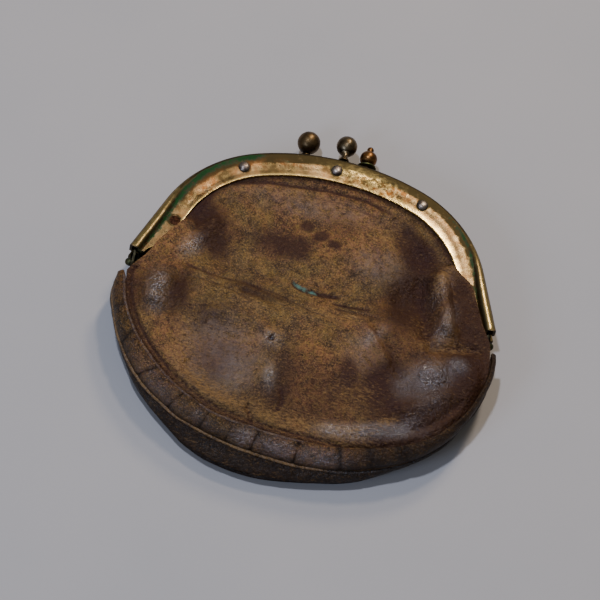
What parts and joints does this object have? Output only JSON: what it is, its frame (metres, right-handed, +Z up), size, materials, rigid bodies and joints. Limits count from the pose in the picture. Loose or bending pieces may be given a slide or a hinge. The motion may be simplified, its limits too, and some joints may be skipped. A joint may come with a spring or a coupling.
{
  "type": "coin purse",
  "caption": "Round two-pocket leather coin purse lying on its back, with a riveted arched metal clasp frame, ball knobs and a hinged front leaf.",
  "frame": {"origin": "under the middle of the whole purse, on the surface that it lies on", "axes": "+X along the hinge axis from the left hinge to the right one, +Y from the pouch's base towards the knobs, +Z up through the purse's thickness"},
  "size_m": [0.0928, 0.0968, 0.0147],
  "materials": {
    "plated_frame": "worn nickel plate over brass, verdigris in the grooves",
    "inner_frame": "tarnished",
    "rivets": "dull, worn smooth",
    "knobs": "dark bronze tarnish, polished by use",
    "panel_leather": "aged, stained, fine crackle",
    "gusset_leather": "dark, glossy where rubbed"
  },
  "bodies": {
    "root": {"back_leaf": "plated_frame", "back_backing_strip": "inner_frame", "back_ball": "knobs", "back_ball_stem": "knobs", "back_panel": "panel_leather", "back_welt": "panel_leather", "back_gusset": "gusset_leather", "divider_lower": "gusset_leather", "front_gusset": "gusset_leather", "front_welt": "panel_leather", "front_panel_lower": "panel_leather", "hinge_pin_left": "rivets", "hinge_pin_right": "rivets", "back_rivet_1": "rivets", "back_rivet_2": "rivets", "back_rivet_3": "rivets", "back_rivet_4": "rivets", "back_rivet_5": "rivets"},
    "front_leaf": {"front_leaf": "plated_frame", "front_backing_strip": "inner_frame", "front_ball": "knobs", "front_ball_stem": "knobs", "front_panel_upper": "panel_leather", "front_rivet_1": "rivets", "front_rivet_2": "rivets", "front_rivet_3": "rivets", "front_rivet_4": "rivets", "front_rivet_5": "rivets"},
    "middle_leaf": {"middle_leaf": "inner_frame", "divider_upper": "gusset_leather", "middle_finial": "knobs", "middle_finial_collar": "knobs", "middle_rivet_1": "rivets", "middle_rivet_2": "rivets", "middle_rivet_3": "rivets", "middle_rivet_4": "rivets"}
  },
  "joints": [
    {"name": "front_hinge", "type": "hinge", "parent": "root", "child": "front_leaf", "pos_m": [0, -0.0001, 0.0054], "axis": [1, 0, 0], "range_deg": [0, 75]},
    {"name": "middle_hinge", "type": "hinge", "parent": "root", "child": "middle_leaf", "pos_m": [0, -0.0001, 0.0054], "axis": [1, 0, 0], "range_deg": [0, 37.5]}
  ],
  "couplings": [
    {"joint": "middle_hinge", "follows": "front_hinge", "ratio": 0.5}
  ]
}
